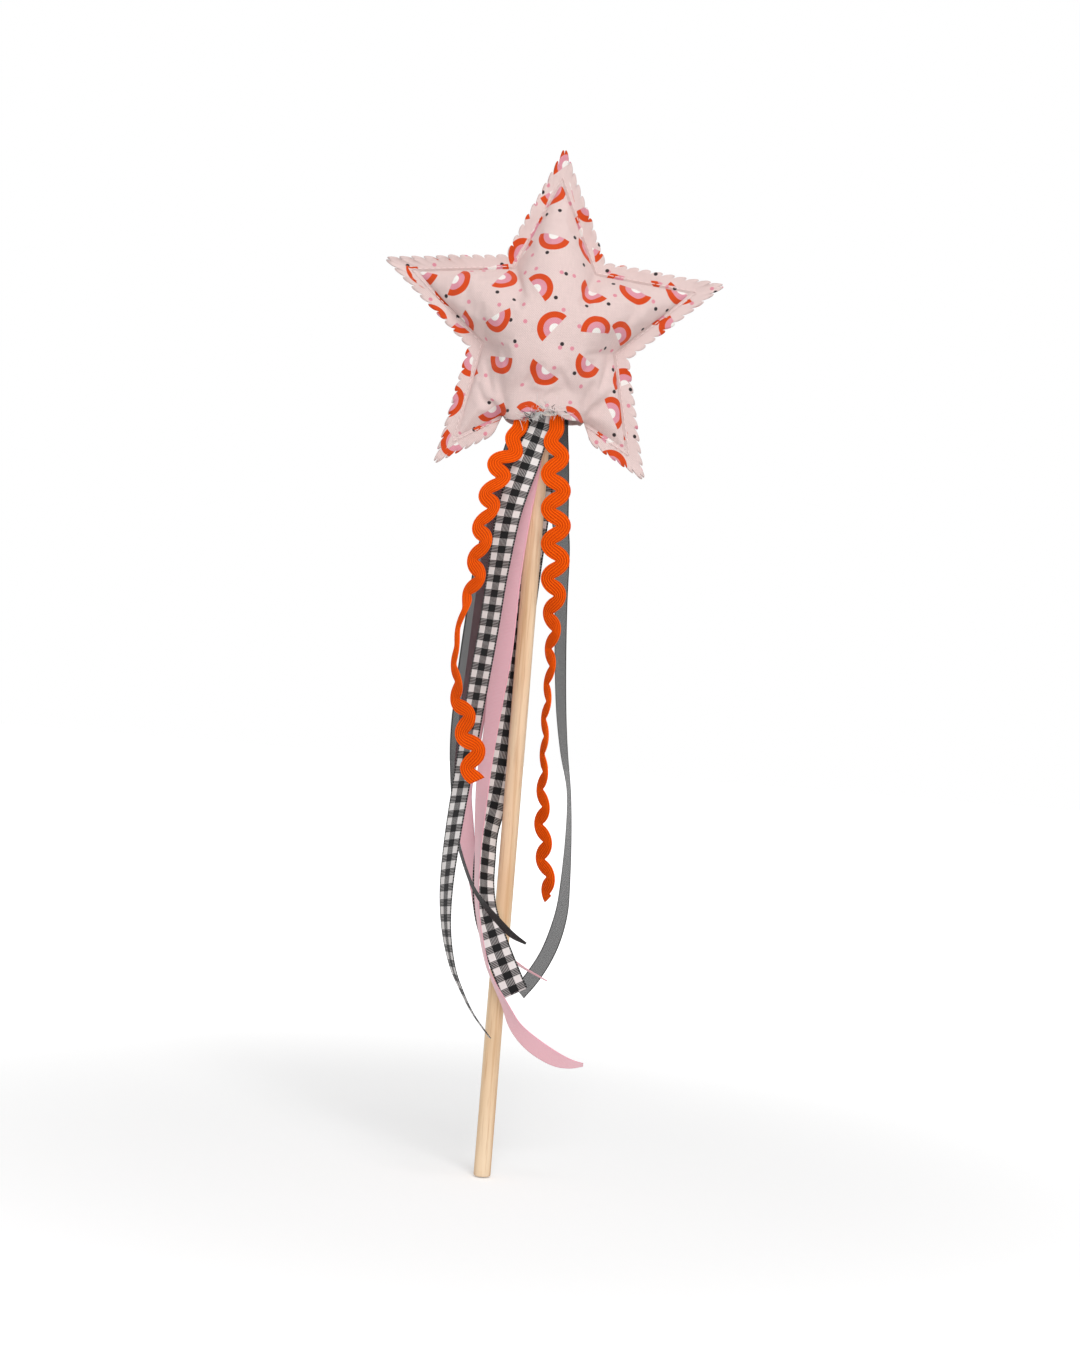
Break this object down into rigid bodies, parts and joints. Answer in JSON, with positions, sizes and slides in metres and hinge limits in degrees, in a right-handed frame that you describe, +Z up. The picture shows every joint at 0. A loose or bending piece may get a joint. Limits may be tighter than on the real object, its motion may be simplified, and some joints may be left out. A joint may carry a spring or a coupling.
{
  "type": "toy magic wand",
  "caption": "Toy wand with a stuffed cotton star on a round wooden dowel, and loose ribbon and rickrack tails that sway below the star.",
  "frame": {"origin": "centre of the dowel's flat butt end", "axes": "+Z up the dowel towards the star, -Y out of the star's front, +X to the right of the front view"},
  "size_m": [0.1285, 0.0586, 0.3866],
  "materials": {
    "birch": "matt",
    "printed_cotton": "matt",
    "thread": "satin",
    "fibrefill": "matt",
    "glue": "satin",
    "gingham_ribbon": "matt",
    "pink_ribbon": "satin",
    "sheer_ribbon": "satin",
    "rickrack": "matt"
  },
  "bodies": {
    "wand": {"dowel": "birch", "star_front_panel": "printed_cotton", "star_back_panel": "printed_cotton", "needle_thread": "thread", "bobbin_thread": "thread", "filling_core": "fibrefill", "filling_top": "fibrefill", "filling_upper_left": "fibrefill", "filling_lower_left": "fibrefill", "filling_lower_right": "fibrefill", "filling_upper_right": "fibrefill", "mouth_glue": "glue", "gingham_roots": "gingham_ribbon", "pink_roots": "pink_ribbon", "sheer_roots": "sheer_ribbon", "rickrack_roots": "rickrack"},
    "gingham_tail_front": {"gingham_tail_front": "gingham_ribbon"},
    "gingham_tail_rear": {"gingham_tail_rear": "gingham_ribbon"},
    "pink_tail_front": {"pink_tail_front": "pink_ribbon"},
    "pink_tail_rear": {"pink_tail_rear": "pink_ribbon"},
    "sheer_tail_left": {"sheer_tail_left": "sheer_ribbon"},
    "sheer_tail_right": {"sheer_tail_right": "sheer_ribbon"},
    "rickrack_tail_left": {"rickrack_tail_left": "rickrack"},
    "rickrack_tail_right": {"rickrack_tail_right": "rickrack"}
  },
  "joints": [
    {"name": "gingham_front_sway", "type": "hinge", "parent": "wand", "child": "gingham_tail_front", "pos_m": [-0.0005, -0.006, 0.2825], "axis": [0, 1, 0], "range_deg": [0, 40]},
    {"name": "gingham_rear_sway", "type": "hinge", "parent": "wand", "child": "gingham_tail_rear", "pos_m": [0.001, 0.0045, 0.2825], "axis": [0, 1, 0], "range_deg": [0, 40]},
    {"name": "pink_front_sway", "type": "hinge", "parent": "wand", "child": "pink_tail_front", "pos_m": [-0.0028, -0.0041, 0.2825], "axis": [0, 1, 0], "range_deg": [0, 40]},
    {"name": "pink_rear_sway", "type": "hinge", "parent": "wand", "child": "pink_tail_rear", "pos_m": [-0.0072, 0.0056, 0.2825], "axis": [0, 1, 0], "range_deg": [0, 40]},
    {"name": "sheer_left_sway", "type": "hinge", "parent": "wand", "child": "sheer_tail_left", "pos_m": [-0.0076, -0.005, 0.2825], "axis": [0, 1, 0], "range_deg": [0, 40]},
    {"name": "sheer_right_sway", "type": "hinge", "parent": "wand", "child": "sheer_tail_right", "pos_m": [0.0067, 0.0057, 0.2825], "axis": [0, 1, 0], "range_deg": [-40, 0]},
    {"name": "rickrack_left_sway", "type": "hinge", "parent": "wand", "child": "rickrack_tail_left", "pos_m": [-0.008, -0.0078, 0.2825], "axis": [0, 1, 0], "range_deg": [0, 40]},
    {"name": "rickrack_right_sway", "type": "hinge", "parent": "wand", "child": "rickrack_tail_right", "pos_m": [0.0052, -0.0074, 0.2825], "axis": [0, 1, 0], "range_deg": [-40, 0]}
  ]
}
